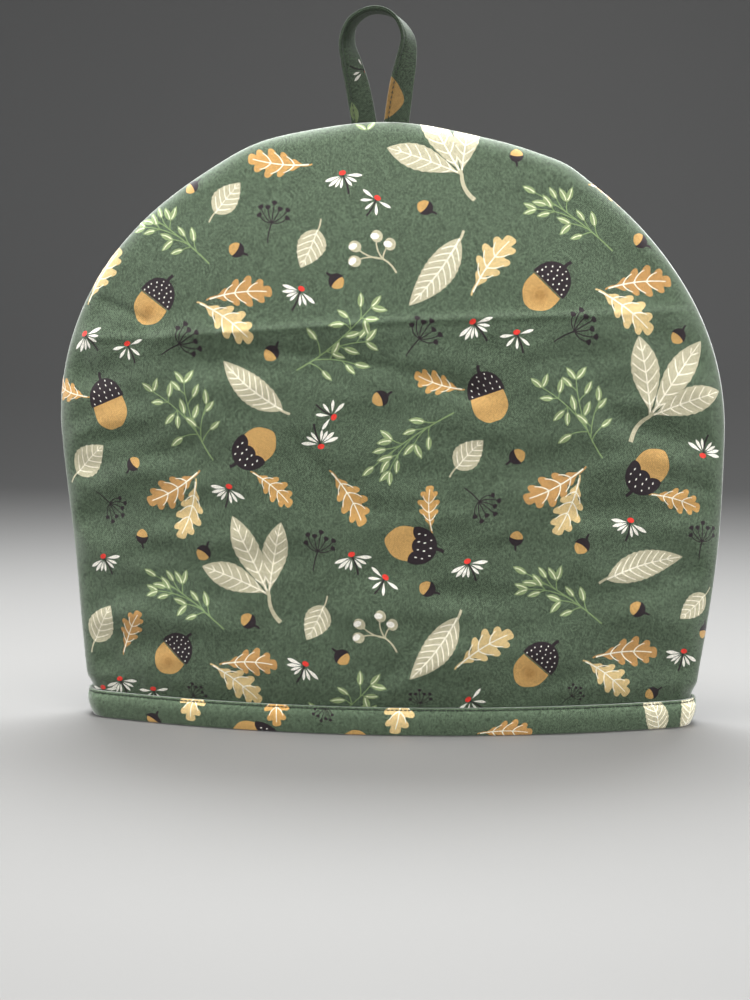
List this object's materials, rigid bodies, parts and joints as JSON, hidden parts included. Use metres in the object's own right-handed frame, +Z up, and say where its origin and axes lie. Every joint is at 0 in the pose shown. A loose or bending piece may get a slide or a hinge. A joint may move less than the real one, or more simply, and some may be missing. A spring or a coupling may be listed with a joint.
{
  "type": "tea cosy",
  "caption": "Dome-shaped wadded tea cosy in printed green cotton, with a bound hem that it stands on and a folded hanging loop at its crown.",
  "frame": {"origin": "centre of the cosy at the level that its hem stands on", "axes": "+Z up from hem to loop, -Y out of the front panel, +X to the right as seen from the front"},
  "size_m": [0.3335, 0.0794, 0.3547],
  "materials": {
    "front_cloth": "matt green cotton printed with leaves, acorns and small flowers",
    "back_cloth": "matt green cotton printed with leaves, acorns and small flowers",
    "binding_cloth": "matt green printed cotton strip, topstitched",
    "loop_cloth": "matt green printed cotton strip, folded and topstitched"
  },
  "bodies": {
    "root": {"front_panel": "front_cloth", "back_panel": "back_cloth", "hem_binding": "binding_cloth", "hanging_loop": "loop_cloth"}
  },
  "joints": []
}
